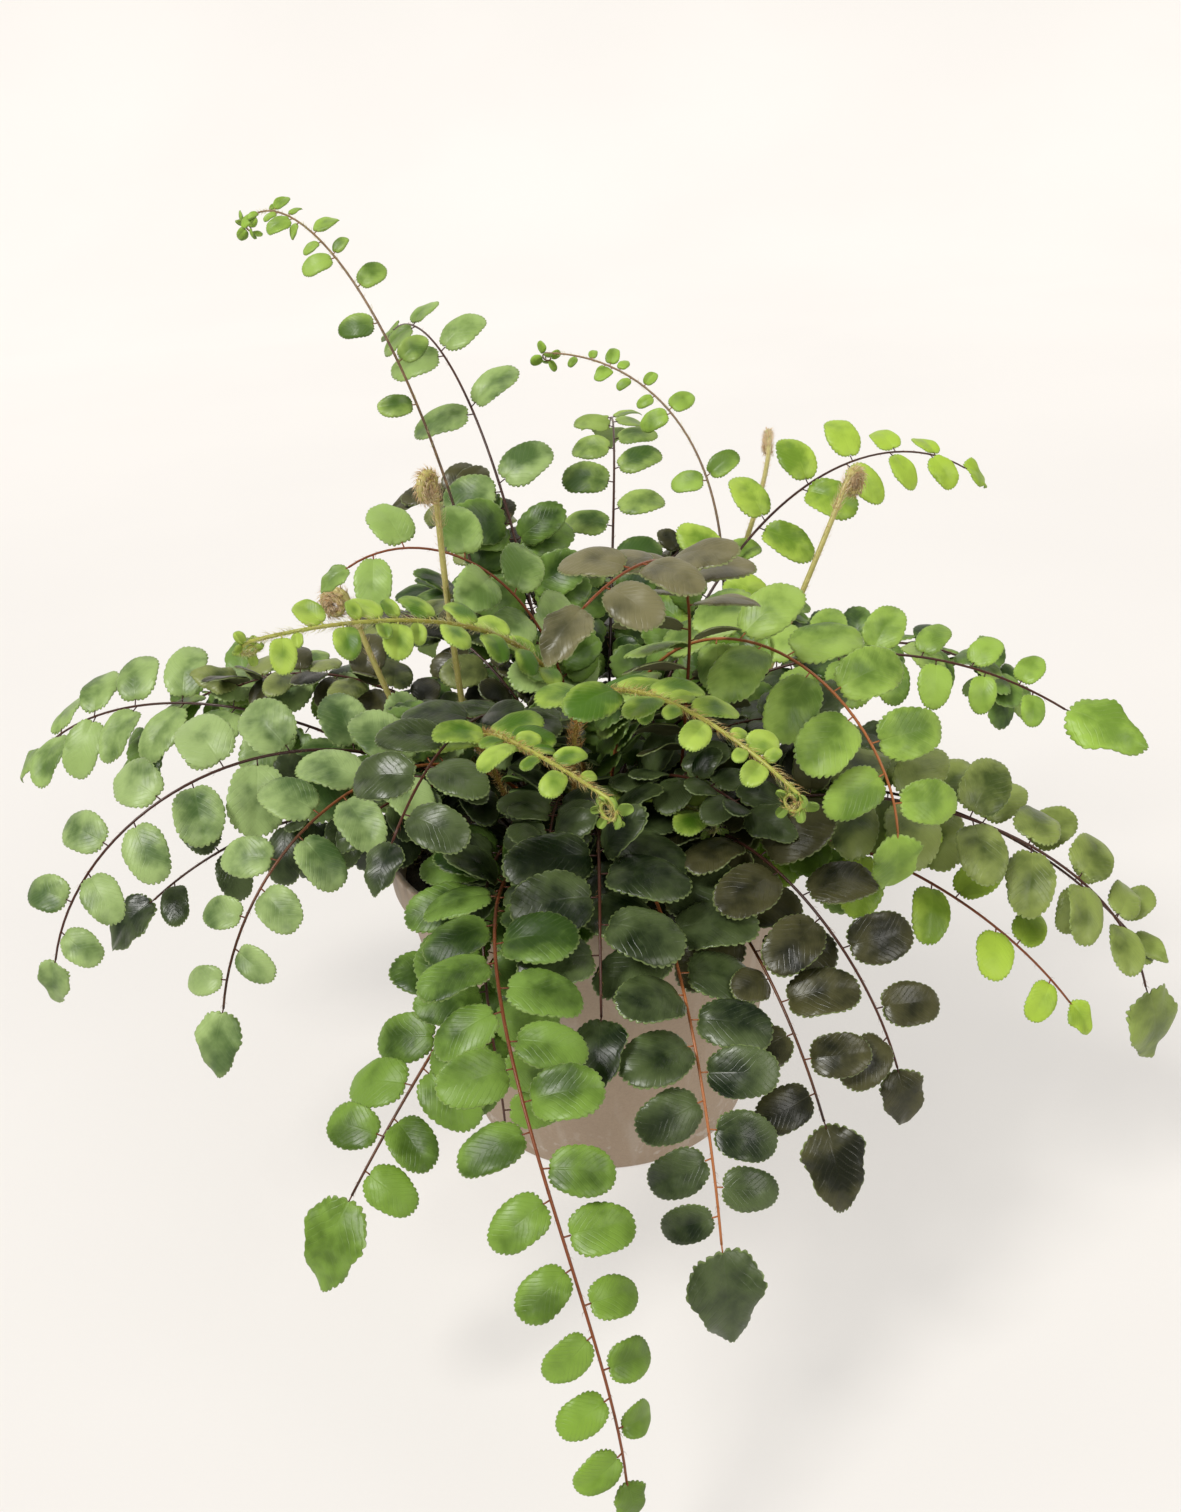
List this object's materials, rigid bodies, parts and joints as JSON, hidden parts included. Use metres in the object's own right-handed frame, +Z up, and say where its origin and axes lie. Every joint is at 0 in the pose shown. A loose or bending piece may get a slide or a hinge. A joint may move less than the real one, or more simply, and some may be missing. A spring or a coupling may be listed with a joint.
{
  "type": "potted button fern",
  "caption": "Button fern in a plain round tapered plastic pot: arching and hanging fronds of small round leathery leaflets, young croziers, dark potting mix.",
  "frame": {"origin": "centre of the pot's flat underside", "axes": "+Z up along the pot's axis; -Y is the front, where the longest hanging fronds are; +X is to the viewer's right"},
  "size_m": [0.3273, 0.3534, 0.2619],
  "materials": {
    "pot_plastic": "matt taupe injection-moulded plastic",
    "peat_mix": "damp dark peat and bark crumbs",
    "leaf_dark": "old leathery leaflets, dark blue-green, soft sheen",
    "leaf_olive": "old leathery leaflets, bronze olive, soft sheen",
    "leaf_mid": "grown leathery leaflets, mid green, matt",
    "leaf_bright": "young leaflets, bright yellow-green, thin",
    "leaf_hairy": "rolled young frond with straw-coloured hairs"
  },
  "bodies": {
    "root": {"crozier_back": "leaf_hairy", "crozier_left": "leaf_hairy", "crozier_right": "leaf_hairy", "crozier_small": "leaf_hairy", "frond_back_left": "leaf_mid", "frond_back_middle": "leaf_mid", "frond_back_right": "leaf_bright", "frond_back_thin": "leaf_mid", "frond_behind_1": "leaf_mid", "frond_behind_2": "leaf_mid", "frond_behind_3": "leaf_mid", "frond_behind_4": "leaf_mid", "frond_behind_5": "leaf_mid", "frond_crown_1": "leaf_dark", "frond_crown_2": "leaf_olive", "frond_crown_3": "leaf_dark", "frond_crown_4": "leaf_olive", "frond_crown_5": "leaf_dark", "frond_crown_6": "leaf_olive", "frond_crown_7": "leaf_dark", "frond_crown_8": "leaf_olive", "frond_crown_9": "leaf_dark", "frond_front_corner": "leaf_dark", "frond_front_drop": "leaf_dark", "frond_front_left": "leaf_mid", "frond_front_long": "leaf_bright", "frond_front_low": "leaf_bright", "frond_front_middle": "leaf_dark", "frond_front_right": "leaf_olive", "frond_left_back": "leaf_dark", "frond_left_dark": "leaf_dark", "frond_left_front": "leaf_mid", "frond_left_high": "leaf_mid", "frond_left_long": "leaf_mid", "frond_over_top": "leaf_olive", "frond_right_arch": "leaf_mid", "frond_right_front": "leaf_bright", "frond_right_high": "leaf_mid", "frond_right_low": "leaf_olive", "frond_right_middle": "leaf_olive", "frond_tall_left": "leaf_bright", "frond_upper_left": "leaf_mid", "frond_young_curl": "leaf_bright", "frond_young_left": "leaf_bright", "frond_young_middle": "leaf_bright", "frond_young_right": "leaf_bright", "pot": "pot_plastic", "potting_mix": "peat_mix"}
  },
  "joints": []
}
